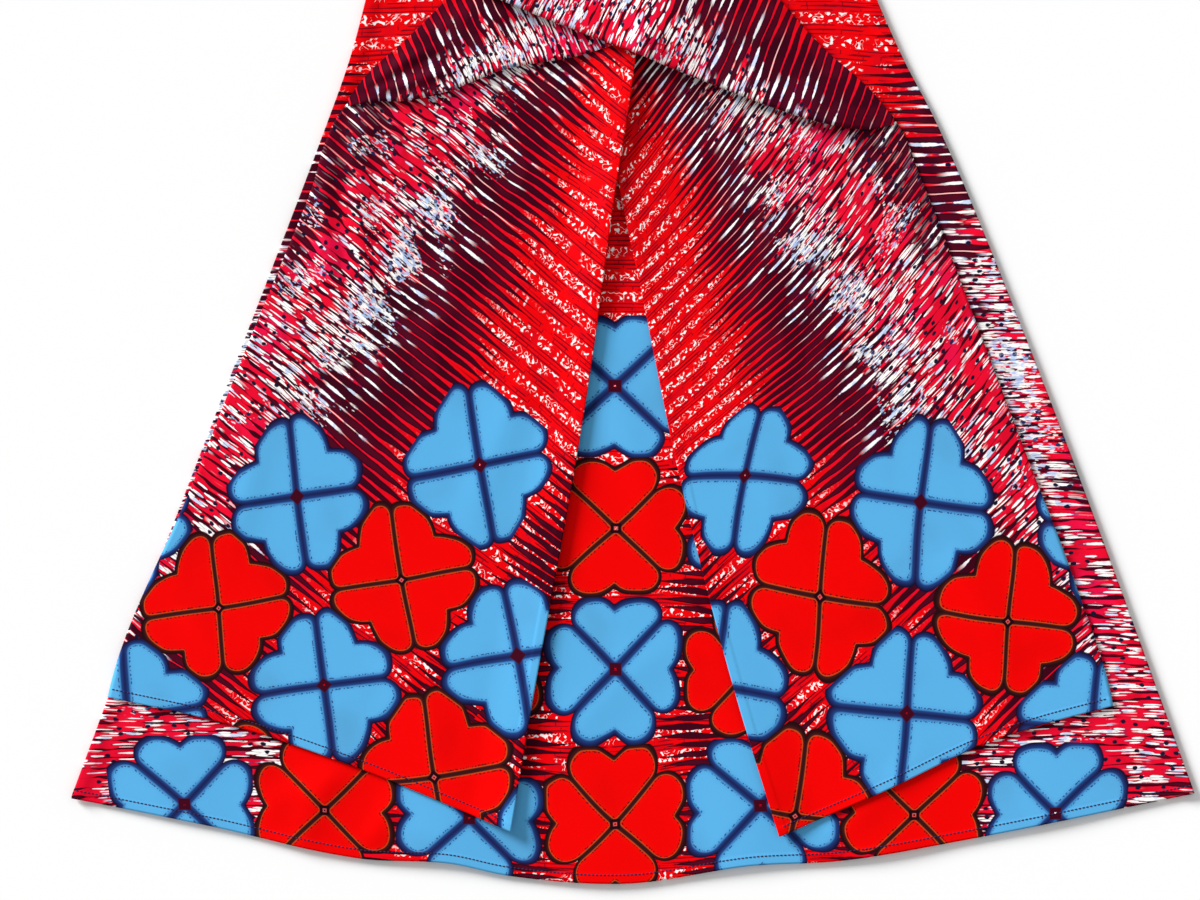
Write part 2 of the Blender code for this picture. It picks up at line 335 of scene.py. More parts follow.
        ground = paint(ground, pale, here * soft(lens, 1.05, 0.90))
    dot_u = u * 11.0 + luck * 7.0
    dot_id = calc("FLOOR", dot_u)
    dot_v = calc("FRACT", row) - 0.5 + (chance(dot_id, row_id + 9.0) - 0.5) * 0.5
    dot = calc("SQRT", calc("POWER", calc("FRACT", dot_u) - 0.5, 2.0) + dot_v * dot_v)
    dots = soft(dot + (grain - 0.5) * 0.2, 0.23, 0.17)
    dots = dots * soft(chance(dot_id + 30.0, row_id), 0.66, 0.67)
    ground = paint(ground, DOT_BLACK, out * dots)

    # bare patches, where the white is broken up by specks of blue and navy
    broken = noise(u0 + 15.0, v0, 3.2)
    bare = soft(calc("ABSOLUTE", w - glow + (broken - 0.5) * 0.5), 0.24, 0.08) * soft(v, 1.3, 1.8)
    bare = bare * soft(v, 4.4, 3.4) * soft(noise(u0 + 23.0, v0, 3.6), 0.44, 0.60)
    farther = soft(broken, 0.62, 0.70) * soft(w, 2.5, 2.8) * soft(w, 3.5, 3.1) * 0.6
    bare = calc("MAXIMUM", bare, farther)
    frost = paint(plain(FROST_BLUE), WHITE, soft(noise(u * 0.5, v, 26.0), 0.42, 0.55))
    flecks = noise(u * 0.35, v, 60.0, 1.0) + (bare - 1.0) * 0.25
    ground = paint(ground, frost, soft(bare, 0.0, 0.2) * soft(flecks, 0.47, 0.51) * 0.75)
    ground = paint(ground, NAVY, soft(bare, 0.2, 0.6) * dots * 0.8)

    colour = paint(ground, petals, flower)
    cloth.node_tree.links.new(colour.socket, look.inputs["Base Color"])
    look.inputs["Roughness"].default_value = 0.70
    look.inputs["Specular IOR Level"].default_value = 0.04
    look.inputs["Sheen Weight"].default_value = 0.005
    look.inputs["Sheen Roughness"].default_value = 0.4
    # the weave
    spot = nodes.new("ShaderNodeTexCoord")
    parts = nodes.new("ShaderNodeSeparateXYZ")
    cloth.node_tree.links.new(spot.outputs["Object"], parts.inputs[0])
    warp = calc("SINE", Term(parts.outputs[0]) * WEAVE)
    weft = calc("SINE", Term(parts.outputs[1]) * WEAVE)
    bump = nodes.new("ShaderNodeBump")
    bump.inputs["Strength"].default_value = 0.25
    bump.inputs["Distance"].default_value = WEAVE_DEPTH
    feed(bump.inputs["Height"], warp * weft)
    cloth.node_tree.links.new(bump.outputs[0], look.inputs["Normal"])
    return cloth


skirt_cotton = cotton("printed_cotton_skirt", 3, (0.398, 0.460, 0.510), 2.58, SKIRT_BLADES)
overlay_cotton = cotton("printed_cotton_overlay", 1, (0.392, 0.480, 0.432), 2.32, OVERLAY_BLADES)

# The back of the skirt: one panel of the cotton, flat on the floor, sewn to the front
# down both sides and to the back bodice at the waist, with a turned and stitched hem.
CLOTH = 0.8 * MM        # how thick the sheets are drawn
WALL = 1.2 * MM         # how thick the solids under them are
SEAM = 0.3 * MM
LAYER = WALL + SEAM
LOOSE = 0.2 * MM        # how far a sheet lies above the lower face of its solid
TOUCH = 0.05 * MM       # what is left between two sheets that are sewn together
SEWN_BAND = 9 * MM      # how far in from a seam the upper sheet sinks to the lower
WAIST = 155 * MM
WAIST_GAP = 0.1 * MM
HEM_BAND = 7 * MM
HEM_EASE = (-0.5 * MM, 1.2 * MM)
SIDE_RISE = 2.3 * MM
SIDE_CURL = 16 * MM
BACK_STITCH_UP = 0.35 * MM
TURNED = 0.35 * MM      # how much the turned hem under the band lifts it
STITCH = 2.9 * MM       # one machine stitch, and its thread
STITCH_PITCH = 3.1 * MM
THREAD = 0.6 * MM
DRIFT = 95              # over how far (mm) the print settles to a row of its table
SIDES = [
    (155, -208, 184),
    (83, -227, 216),
    (35, -244, 241),
    (-125, -305, 308),
    (-317, -379, 381),
    (-505, -449, 449),
]
HEM = [
    (-449, -507),
    (-339, -529),
    (-219, -555),
    (-147, -559),
    (-99, -569),
    (-3, -575),
    (93, -561),
    (165, -557),
    (261, -541),
    (449, -503),
]
# Where flowers sit on the skirt: across, height (mm), place on the lattice
SKIRT_PRINT = [
    (-358.8, -511.4, -3, 0),
    (-247.6, -515.8, -2, 0),
    (-130.8, -523.0, -1, 0),
    (-14.8, -527.0, 0, 0),
    (101.2, -513.4, 1, 0),
    (225.2, -520.6, 2, 0),
    (337.2, -518.6, 3, 0),
    (93.0, -405.0, 1, 1),
    (-14.8, -403.0, 0, 1),
    (-14.8, -290.2, 0, 2),
    (-14.8, -178.2, 0, 3),
    (197.2, 83.4, 1.65, 5.3),
    (-216.0, 83.4, -1.60, 5.3),
]
# Soft creases: from across, height, to across, height, bow, half width, rise (mm)
SKIRT_CREASES = [
    (-20, -190, 20, -300, 6, 14, 0.9),
    (-60, -470, 40, -380, 8, 16, 0.8),
    (150, -540, 230, -470, -6, 12, 0.9),
    (-300, -520, -220, -490, 5, 12, 0.8),
    (395, -330, 372, -180, 5, 10, 0.9),
    (-268, -548, -232, -478, 5, 13, 1.3),
    (-215, -545, -190, -500, -4, 9, 0.9),
    (330, -70, 290, 60, -4, 9, 0.8),
    (-420, -470, -380, -440, 4, 10, 0.8),
]


def line(rows, column, at):
    """A smooth line through one column of a table, level beyond its ends."""
    table = np.array(sorted(rows)) * MM
    x, y = table[:, 0], table[:, column]
    run = np.diff(x)
    rise = np.diff(y) / run
    slope = np.concatenate([rise[:1], (rise[:-1] + rise[1:]) / 2, rise[-1:]])
    k = np.clip(np.searchsorted(x, at) - 1, 0, len(run) - 1)
    u = np.clip((at - x[k]) / run[k], 0, 1)
    blend = u * u * (3 - 2 * u)
    ease = run[k] * u * (1 - u) * ((1 - u) * slope[k] - u * slope[k + 1])
    return y[k] + blend * (y[k + 1] - y[k]) + ease


def step(start, end, at):
    """0 before start, 1 past end, and a soft S between."""
    u = np.clip((at - start) / (end - start), 0, 1)
    return u * u * (3 - 2 * u)


def creases(rows, x, y):
    """How far the creases of a table lift the cloth at each point."""
    total = 0 * x
    for x0, y0, x1, y1, bow, half, rise in rows:
        dx, dy = (x1 - x0) * MM, (y1 - y0) * MM
        length = np.hypot(dx, dy)
        along = ((x - x0 * MM) * dx + (y - y0 * MM) * dy) / length**2
        beside = ((y - y0 * MM) * dx - (x - x0 * MM) * dy) / length
        inner = np.clip(along, 0, 1)
        beside = beside - 4 * bow * MM * inner * (1 - inner)
        fade = step(-0.2, 0.3, along) * (1 - step(0.6, 1.2, along))
        total = total + rise * MM * fade * np.exp(-((beside / (half * MM)) ** 2))
    return total


def lay(name, grid, edges, under, registration, cloth, across=None, up=None):
    """One sheet of cloth, laid between four edges, with the print's map on it."""
    bm = bmesh.new()
    bmesh.ops.create_grid(bm, x_segments=grid[0], y_segments=grid[1], size=0.5)
    s = np.array([v.co.x + 0.5 for v in bm.verts])
    t = np.array([v.co.y + 0.5 for v in bm.verts])
    if across:
        s = np.interp(s, *across)
    if up:
        t = np.interp(t, *up)
    left, right, low, high = edges
    x, y = 0 * s, 0 * s
    for _ in range(40):
        x = left(y) + s * (right(y) - left(y))
        y = low(x) + t * (high(x) - low(x))
    for v, point in zip(bm.verts, np.stack([x, y, under(x, y)], axis=1)):
        v.co = point
    mesh = bpy.data.meshes.new(name)
    bm.to_mesh(mesh)
    bm.free()
    mesh.shade_smooth()
    known = np.array(registration)
    terms = lambda p, q: np.stack([1 + 0 * p, p, q, p * q / 300], axis=1)
    gaps = lambda p, q: (p[:, None] - known[:, 0]) ** 2 + (q[:, None] - known[:, 1]) ** 2
    near = lambda p, q: np.exp(-gaps(p, q) / DRIFT**2)
    fit, *_ = np.linalg.lstsq(terms(known[:, 0], known[:, 1]), known[:, 2:], rcond=None)
    missed = known[:, 2:] - terms(known[:, 0], known[:, 1]) @ fit
    pull = np.linalg.solve(near(known[:, 0], known[:, 1]) + 0.02 * np.eye(len(known)), missed)
    printed = terms(x / MM, y / MM) @ fit + near(x / MM, y / MM) @ pull
    corners = np.empty(len(mesh.loops), dtype=np.int32)
    mesh.loops.foreach_get("vertex_index", corners)
    mesh.uv_layers.new(name="print").data.foreach_set("uv", printed[corners].ravel())
    mesh.materials.append(cloth)
    piece = bpy.data.objects.new(name, mesh)
    bpy.context.scene.collection.objects.link(piece)
    thick = piece.modifiers.new("cloth", "SOLIDIFY")
    thick.thickness = CLOTH
    thick.offset = 1.0
    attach(piece, "root")
    return piece


def turned(inward):
    """What a hem that is turned under adds to the height, so far in from its edge."""
    return TURNED * (1 - step(HEM_BAND + HEM_EASE[0], HEM_BAND + HEM_EASE[1], inward))


# navy sewing thread, twisted from finer strands
THREAD_DARK = (0.012, 0.006, 0.030, 1)
THREAD_LIGHT = (0.045, 0.018, 0.090, 1)
THREAD_GRAIN = 900
thread = bpy.data.materials.new("thread")
thread.use_nodes = True
thread_look = thread.node_tree.nodes["Principled BSDF"]
thread_look.inputs["Roughness"].default_value = 0.6
thread_look.inputs["Specular IOR Level"].default_value = 0.2
strands = thread.node_tree.nodes.new("ShaderNodeTexNoise")
strands.inputs["Scale"].default_value = THREAD_GRAIN
tints = thread.node_tree.nodes.new("ShaderNodeValToRGB")
tints.color_ramp.elements[0].color = THREAD_DARK
tints.color_ramp.elements[1].color = THREAD_LIGHT
thread_spot = thread.node_tree.nodes.new("ShaderNodeTexCoord")
thread.node_tree.links.new(thread_spot.outputs["Object"], strands.inputs["Vector"])
thread.node_tree.links.new(strands.outputs[0], tints.inputs["Fac"])
thread.node_tree.links.new(tints.outputs[0], thread_look.inputs["Base Color"])


def sew(name, height, *rows):
    """Rows of machine stitches along lines of points, on a face of that height."""
    bm = bmesh.new()
    for x, y in rows:
        points = np.stack([x, y, height(x, y)], axis=1)
        run = np.concatenate([[0], np.cumsum(np.linalg.norm(np.diff(points, axis=0), axis=1))])
        for start in np.arange(0, run[-1] - STITCH, STITCH_PITCH):
            first, last = (
                Vector([np.interp(at, run, points[:, k]) for k in range(3)])
                for at in (start, start + STITCH)
            )
            turn = (last - first).to_track_quat("Z", "Y").to_matrix().to_4x4()
            size = Matrix.Diagonal((THREAD, THREAD, STITCH / 2, 1))
            spot = Matrix.Translation((first + last) / 2) @ turn @ size
            bmesh.ops.create_icosphere(bm, subdivisions=1, radius=1, matrix=spot)
    mesh = bpy.data.meshes.new(name)
    bm.to_mesh(mesh)
    bm.free()
    mesh.shade_smooth()
    mesh.materials.append(thread)
    piece = bpy.data.objects.new(name, mesh)
    bpy.context.scene.collection.objects.link(piece)
    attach(piece, "root")
    return piece


def edge_from(rows, column=1):
    """A panel's edge, read from one column of a table."""
    return lambda at: line(rows, column, at)


def flat(height):
    return lambda x, y: height + 0 * x


side_left, side_right = edge_from(SIDES, 1), edge_from(SIDES, 2)
hem = edge_from(HEM)


def skirt_top(x):
    return WAIST - WAIST_GAP + 0 * x


def on_top(under):
    """The upper face of a sheet, from its lower one."""
    return lambda x, y: under(x, y) + CLOTH


def curl(inward):
    """How far a sewn side stands off the floor, so far in from it."""
    return SIDE_RISE * (1 - step(0, SIDE_CURL, inward))


def back_under(x, y):
    return curl(np.minimum(x - side_left(y), side_right(y) - x))


skirt_back = lay(
    "back_skirt_cloth",
    (150, 100),
    (side_left, side_right, hem, skirt_top),
    back_under,
    SKIRT_PRINT,
    skirt_cotton,
    across=([0, 0.04, 0.96, 1], [0, 0.02, 0.98, 1]),
)
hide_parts("skirt_back")
across = np.linspace(-446 * MM, 446 * MM, 400)
back_stitches = sew("back_hem_stitches", flat(BACK_STITCH_UP), (across, hem(across) + HEM_BAND))

# The front of the under-skirt: a second panel of the cotton, on the back one. It sinks
# to it at the side seams, and its turned and stitched hem stands in low waves.
# Waves: place as a share of the width, half width, height and length (mm)
FLUTES = [
    (0.10, 0.050, 1.1, 150),
    (0.21, 0.045, 1.5, 190),
    (0.33, 0.055, 2.2, 240),
    (0.47, 0.050, 1.3, 160),
    (0.60, 0.050, 1.9, 220),
    (0.73, 0.055, 1.7, 200),
    (0.87, 0.060, 1.3, 170),
]


def flute(x, y):
    """How far the front skirt's hem lifts, in folds that die out going up."""
    left, right = side_left(y), side_right(y)
    share = (x - left) / (right - left)
    above = y - hem(x)
    total = 0 * x
    for middle, half, height, length in FLUTES:
        crest = np.exp(-(((share - middle) / half) ** 2))
        total = total + height * MM * crest * (1 - step(0, length * MM, above))
    return total


def front_under(x, y):
    """Lower face of the front skirt."""
    edge = np.minimum(x - side_left(y), side_right(y) - x)
    sink = (LAYER + LOOSE - CLOTH - TOUCH) * (1 - step(0, SEWN_BAND, edge))
    own = creases(SKIRT_CREASES, x, y) + turned(y - hem(x)) + curl(edge)
    return LAYER + LOOSE + flute(x, y) + own - sink


skirt_front = lay(
    "front_skirt_cloth",
    (200, 150),
    (side_left, side_right, hem, skirt_top),
    front_under,
    SKIRT_PRINT,
    skirt_cotton,
    across=([0, 0.03, 0.97, 1], [0, 0.012, 0.988, 1]),
    up=([0, 0.05, 1], [0, 0.018, 1]),
)
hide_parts("skirt_front")
front_stitches = sew("front_hem_stitches", on_top(front_under), (across, hem(across) + HEM_BAND))

# The bodice, back and front: two panels of the cotton, with hollow armholes and a round
# neck whose edges are turned and stitched, sewn together at the sides and shoulders.
MIDDLE = -12 * MM
WAIST_HALF = 196 * MM
CHEST_HALF = 232 * MM
ARMHOLE_HALF = 170 * MM
SHOULDER_HALF = 180 * MM
SHOULDER_UP = 390 * MM
UNDERARM_UP = SHOULDER_UP / 2
NECK_HALF = 90 * MM
NECK_POINT = 575 * MM
NECK_FRONT = 105 * MM
NECK_BACK = 32 * MM
NECK_LIFT = 3 * MM      # how far the open neck's front edge stands off the back
NECK_LIFT_RUN = 30 * MM
ARM_IN = CHEST_HALF - ARMHOLE_HALF
ARM_DEEP = 0.75 * UNDERARM_UP
ARM_TOP = WAIST + UNDERARM_UP + ARM_DEEP
BODICE_CREASES = [
    (-150, 200, -60, 330, 8, 14, 1.4),
    (130, 210, 50, 340, -8, 13, 1.2),
    (-195, 345, -120, 380, 5, 10, 1.2),
    (170, 350, 100, 372, -4, 9, 1.0),
    (-60, 440, 30, 455, -8, 12, 1.0),
    (-170, 470, -120, 520, 4, 10, 0.9),
    (150, 455, 110, 520, -4, 9, 0.8),
]


def bodice_half(y):
    """Half width of the bodice, up the side seam and round the armhole."""
    up = y - WAIST
    side = WAIST_HALF + (CHEST_HALF - WAIST_HALF) * np.clip(up / UNDERARM_UP, 0, 1)
    climb = np.clip((up - UNDERARM_UP) / ARM_DEEP, 0, 1)
    hollow = 1 - np.sqrt(1 - (1 - climb) ** 2)
    arm = ARMHOLE_HALF + ARM_IN * hollow
    arm = arm + (SHOULDER_HALF - ARMHOLE_HALF) * step(0.1, 0.2, up - UNDERARM_UP)
    return np.where(up <= UNDERARM_UP, side, arm)


def bodice_left(y):
    return MIDDLE - bodice_half(y)


def bodice_right(y):
    return MIDDLE + bodice_half(y)


def bodice_low(x):
    return WAIST + WAIST_GAP + 0 * x


def bodice_top(x, scoop):
    """Height of the shoulder line, and of the round neck between its ends."""
    beside = np.abs(x - MIDDLE)
    slope = (NECK_POINT - WAIST - SHOULDER_UP) / (SHOULDER_HALF - NECK_HALF)
    shoulder = NECK_POINT - slope * (beside - NECK_HALF)
    round_neck = np.sqrt(1 - np.clip(beside / NECK_HALF, 0, 1) ** 2)
    return np.where(beside < NECK_HALF, NECK_POINT - scoop * round_neck, shoulder)


def beyond(across, up, wide, deep):
    """How far a point lies outside a half ellipse that opens upward."""
    p, q = across / wide, np.minimum(up, 0) / deep
    r = np.hypot(p, q)
    return (r - 1) * r / np.maximum(np.hypot(p / wide, q / deep), 1e-6)


def bodice_bands(x, y, scoop):
    """The turned and stitched edges of the neck and the armholes."""
    neck = beyond(x - MIDDLE, y - NECK_POINT, NECK_HALF, scoop)
    arm = beyond(CHEST_HALF - np.abs(x - MIDDLE), y - ARM_TOP, ARM_IN, ARM_DEEP)
    return turned(neck) + turned(arm) * (y > WAIST + UNDERARM_UP - HEM_BAND)


def bodice_rows(scoop):
    """The stitches' lines round the neck and both armholes."""
    turn = np.linspace(0.02, np.pi - 0.02, 160)
    neck_x = MIDDLE + (NECK_HALF + HEM_BAND) * np.cos(turn)
    neck = (neck_x, NECK_POINT - (scoop + HEM_BAND) * np.sin(turn))
    turn = np.linspace(0.15, np.pi / 2, 60)
    up = np.linspace(ARM_TOP, WAIST + SHOULDER_UP - 2 * MM, 20)
    hollow = CHEST_HALF - (ARM_IN + HEM_BAND) * np.sin(turn)
    beside = np.concatenate([hollow, bodice_half(up) - HEM_BAND])
    high = np.concatenate([ARM_TOP - (ARM_DEEP + HEM_BAND) * np.cos(turn), up])
    return neck, (MIDDLE - beside, high), (MIDDLE + beside, high)


def bodice_under(x, y):
    """Lower face of the front bodice, down on the back at sides and shoulders."""
    side = np.minimum(x - bodice_left(y), bodice_right(y) - x)
    sewn = 1 - step(0, SEWN_BAND, side)
    shoulder = 1 - step(0, SEWN_BAND, bodice_top(x, 0) - y)
    sink = np.maximum(sewn * (y < WAIST + UNDERARM_UP), shoulder)
    neck = beyond(x - MIDDLE, y - NECK_POINT, NECK_HALF, NECK_FRONT)
    open_neck = NECK_LIFT * (1 - step(0, NECK_LIFT_RUN, neck))
    base = LAYER + LOOSE + creases(BODICE_CREASES, x, y)
    base = base + bodice_bands(x, y, NECK_FRONT) + open_neck
    return base - (base - CLOTH - TOUCH) * sink + curl(side)


def bodice_back_under(x, y):
    return curl(np.minimum(x - bodice_left(y), bodice_right(y) - x))


# The back is cut from another part of the cloth, so the rows don't meet at the neck
BACK_PRINT = [(x, y, u + 0.37, v + 0.23) for x, y, u, v in SKIRT_PRINT]
for name, scoop, under, registration in (
    ("back", NECK_BACK, bodice_back_under, BACK_PRINT),
    ("front", NECK_FRONT, bodice_under, SKIRT_PRINT),
):
    lay(
        name + "_bodice_cloth",
        (200, 110),
        (bodice_left, bodice_right, bodice_low, lambda x, d=scoop: bodice_top(x, d)),
        under,
        registration,
        skirt_cotton,
    )
    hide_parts("bodice_" + name)
    sew(name + "_bodice_stitches", on_top(under), *bodice_rows(scoop))

# The right overlay: one panel of the cotton cut on the bias, sewn in at the waist under
# the wraps, and free below, with a narrow hem down its inner edge and along its foot.
RAMP = 30 * MM          # how far outside the edge of a sheet the next one is down again
CLEAR = 9 * MM          # how far outside that edge it still lies on top
SOONER = 12 * MM        # how much farther out each further sheet climbs
SLACK = 0.6 * MM
SLACK_FROM, SLACK_TO = 130 * MM, 400 * MM
INNER_RUN = 40 * MM     # how far in an overlay's lifted inner edge reaches
RIGHT_OVERLAY = [
    (151, -24, 89),
    (95, -21, 133),
    (37, -18, 207),
    (-10, -13, 229),
    (-101, 6, 264),
    (-238, 34, 316),
    (-330, 56, 351),
    (-433, 84, 383),
    (-537, 116, 383),
]
RIGHT_OVERLAY_HEM = [(117, -537), (200, -501), (272, -467), (316, -451), (383, -433)]
RIGHT_PRINT = [
    (230.0, -270.2, 2, 1),
    (88.4, -248.6, 1, 2),
    (149.2, -344.6, 1, 1),
    (299.6, -365.4, 2, 0),
    (63.0, -416.0, 0, 1),
    (218.8, -439.8, 1, 0),
    (367.2, -453.4, 2, -1),
    (128.4, -520.6, 0, 0),
    (380.4, -291.0, 3, 0),
    (-32.0, -47.0, 1, 5.0),
]
RIGHT_CREASES = [
    (190, -20, 245, -150, 10, 16, 1.6),
    (90, -60, 180, -230, -12, 22, 1.5),
    (60, -200, 140, -300, 8, 14, 1.0),
    (250, -300, 300, -420, 6, 16, 1.2),
    (130, -420, 190, -480, -5, 12, 1.0),
    (320, -240, 345, -340, 4, 10, 0.9),
    (170, 26, 202, -12, 2, 6, 1.5),
    (150, 25, 180, -18, -2, 6, 1.3),
]
# How far the inner edge stands off the cloth under it, by its height on the panel (mm)
RIGHT_STANDS = [(-530, 2.5), (-265, 0.0), (-110, 0.8), (-60, 3.0), (-20, 2.5), (10, 0.0)]
right_inner, right_outer = edge_from(RIGHT_OVERLAY, 1), edge_from(RIGHT_OVERLAY, 2)
right_foot = edge_from(RIGHT_OVERLAY_HEM)


def inside(x, y, left, right, low, high, sooner=0):
    """1 within an outline and a little outside it, sinking to 0 one ramp away."""
    total = 1
    for depth in (x - left, right - x, y - low, high - y):
        total = total * step(-RAMP, -CLEAR, depth + sooner)
    return total


def on_right_overlay(x, y, sooner=0):
    return inside(x, y, right_inner(y), right_outer(y), right_foot(x), WAIST, sooner)


def over_front(x, y):
    """Where a sheet lies that rests on the front skirt or bodice."""
    return LAYER + WALL + SEAM + LOOSE + flute(x, y) + creases(SKIRT_CREASES, x, y)


def slack(y):
    """How much an overlay eases off the skirt on its way down."""
    return SLACK * step(SLACK_FROM, SLACK_TO, WAIST - y)


def right_under(x, y):
    edge = x - right_inner(y)
    height = np.interp(y / MM, *zip(*RIGHT_STANDS))
    lift = height * MM * (1 - step(0, INNER_RUN, edge))
    band = turned(edge) + turned(y - right_foot(x))
    return over_front(x, y) + slack(y) + lift + band + creases(RIGHT_CREASES, x, y)


overlay_right = lay(
    "right_overlay_cloth",
    (110, 180),
    (right_inner, right_outer, right_foot, skirt_top),
    right_under,
    RIGHT_PRINT,
    overlay_cotton,
    across=([0, 0.08, 1], [0, 0.03, 1]),
    up=([0, 0.05, 1], [0, 0.018, 1]),
)
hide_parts("overlay_right")
across = np.linspace(119 * MM, 380 * MM, 200)
right_stitches = sew(
    "right_overlay_stitches", on_top(right_under), (across, right_foot(across) + HEM_BAND)
)

# The left overlay: the right one's mirror, cut, hemmed and sewn in like it. It lies over
# the other's top inner corner, and its own inner edge stands up a little.
LEFT_OVERLAY = [
    (151, -123, 9),
    (95, -177, 3),
    (43, -233, -4),
    (-25, -259, -15),
    (-156, -313, -33),
    (-250, -350, -48),
    (-426, -420, -80),
    (-533, -420, -98),
]
LEFT_OVERLAY_HEM = [(-420, -426), (-326, -447), (-219, -483), (-98, -533)]
LEFT_PRINT = [
    (-268.4, -265.4, -2, 1),
    (-122.8, -240.6, -1, 2),
    (-331.6, -354.2, -2, 0),
    (-185.2, -332.6, -1, 1),
    (-246.8, -416.6, -1, 0),
    (-92.4, -391.8, 0, 1),
    (-158.8, -489.4, 0, 0),
    (-404.0, -442.6, -2, -1),
    (-414.0, -288.6, -3, 0),
    (-67.0, -560.0, 1, 0),
]
LEFT_CREASES = [
    (-237, 50, -234, -120, -11, 8, 2.2),
    (-213, 56, -205, -126, -11, 10, 2.2),
    (-120, -20, -200, -190, 14, 20, 1.5),
    (-70, -150, -130, -300, -8, 16, 1.1),
    (-300, -200, -330, -320, 6, 14, 1.1),
    (-200, -400, -150, -460, 6, 13, 1.0),
    (-360, -350, -300, -420, -5, 12, 1.0),
    (-222, 44, -204, 18, 2, 5, 1.8),
    (-204, 46, -184, 14, -2, 5, 1.6),
    (-188, 44, -163, 10, 2, 6, 1.4),
]
LEFT_STANDS = [
    (-530, 3.0),
    (-265, 2.6),
    (-130, 3.2),
    (-80, 5.0),
    (-35, 7.0),
    (0, 5.5),
    (60, 6.5),
    (90, 7.0),
    (130, 0.0),
]
CORNER = (-98 * MM, -533 * MM)
CORNER_RISE = 2.5 * MM
CORNER_RUN = 20 * MM
left_outer, left_inner = edge_from(LEFT_OVERLAY, 1), edge_from(LEFT_OVERLAY, 2)
left_foot = edge_from(LEFT_OVERLAY_HEM)


def on_left_overlay(x, y, sooner=0):
    return inside(x, y, left_outer(y), left_inner(y), left_foot(x), WAIST, sooner)


def left_lift(x, y):
    """How far the left overlay's inner edge stands off the cloth under it."""
    edge = left_inner(y) - x
    height = np.interp(y / MM, *zip(*LEFT_STANDS))
    return height * MM * (1 - step(0, INNER_RUN, edge)) * step(-RAMP, 0, edge)


def left_under(x, y):
    band = turned(left_inner(y) - x) + turned(y - left_foot(x))
    from_corner = np.hypot(x - CORNER[0], y - CORNER[1])
    corner_lift = CORNER_RISE * np.exp(-((from_corner / CORNER_RUN) ** 2))
    own = creases(LEFT_CREASES, x, y) + LAYER * on_right_overlay(x, y)
    return over_front(x, y) + slack(y) + left_lift(x, y) + band + corner_lift + own


overlay_left = lay(
    "left_overlay_cloth",
    (110, 180),
    (left_outer, left_inner, left_foot, skirt_top),
    left_under,
    LEFT_PRINT,
    overlay_cotton,
    across=([0, 0.92, 1], [0, 0.97, 1]),
    up=([0, 0.05, 1], [0, 0.018, 1]),
)
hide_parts("overlay_left")
across = np.linspace(-417 * MM, -101 * MM, 200)
left_stitches = sew(
    "left_overlay_stitches", on_top(left_under), (across, left_foot(across) + HEM_BAND)
)

# The lower wrap: a folded band of the cotton from the right side seam, where it is sewn
# in, down to the left hip. Its lower edge is a soft fold, drawn together at the hip.
FOLD_RISE = 8 * MM
FOLD_RUN = 45 * MM
ROLL = 2.5 * MM         # how round the fold's edge is
UNDER_FOLD_SHARE = 0.4  # how high the lower wrap's fold is beside the upper one's
WRAP_UNDER = [
    (-228, 46, 52),
    (-211, 50, 73),
    (-180, 51, 101),
    (-150, 58, 131),
    (-103, 76, 180),
    (-42, 87, 236),
    (53, 119, 296),
    (206, 190, 362),
]
UNDER_PRINT = [
    (-190, 90, -1.62, 2.84),
    (-176, 52, -2.30, 2.84),
    (-150, 131, -1.62, 3.32),
    (-120, 70, -2.60, 3.32),
    (-103, 180, -1.62, 3.90),
    (-58, 84, -2.75, 3.90),
    (-42, 236, -1.62, 4.61),
    (28, 110, -3.06, 4.61),
]
UNDER_CREASES = [
    (-215, 60, -150, 95, 3, 5, 2.2),
    (-205, 58, -130, 82, -2, 4, 1.9),
    (-190, 78, -110, 130, 4, 8, 1.5),
    (-160, 85, -40, 140, 6, 10, 1.6),
    (-110, 120, 0, 200, -6, 12, 1.4),
]
wrap_under_low, wrap_under_high = edge_from(WRAP_UNDER, 1), edge_from(WRAP_UNDER, 2)


def on_wrap_under(x, y, sooner=0):
    low, high = wrap_under_low(x), wrap_under_high(x)
    return inside(x, y, WRAP_UNDER[0][0] * MM, CHEST_HALF, low, high, sooner)


def fold_line(above, rise):
    """A fold's height going in from its round edge, which stands clear of the cloth below."""
    turn = 1 - np.sqrt(np.clip(1 - (1 - np.clip(above / ROLL, 0, 1)) ** 2, 0, 1))
    return rise * (1 - step(0, FOLD_RUN, above)) - np.minimum(ROLL, 0.6 * rise) * turn


def under_fold(x, y):
    reach = (1 - step(-60 * MM, -20 * MM, x)) * step(-228 * MM, -195 * MM, x)
    return fold_line(y - wrap_under_low(x), UNDER_FOLD_SHARE * FOLD_RISE * reach)


def below_wraps(x, y):
    """The creases and the lifted edge that both wraps lie over."""
    total = creases(LEFT_CREASES, x, y) + creases(RIGHT_CREASES, x, y)
    return total + creases(BODICE_CREASES, x, y) + left_lift(x, y)


def wrap_under_under(x, y):
    layers = on_left_overlay(x, y, SOONER) + on_right_overlay(x, y, SOONER)
    own = under_fold(x, y) + creases(UNDER_CREASES, x, y)
    return over_front(x, y) + LAYER * layers + below_wraps(x, y) + own


wrap_under = lay(
    "lower_wrap_cloth",
    (150, 60),
    (
        lambda y: WRAP_UNDER[0][0] * MM + 0 * y,
        bodice_right,
        wrap_under_low,
        wrap_under_high,
    ),
    wrap_under_under,
    UNDER_PRINT,
    skirt_cotton,
    up=([0, 0.25, 1], [0, 0.10, 1]),
)
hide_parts("wrap_under")

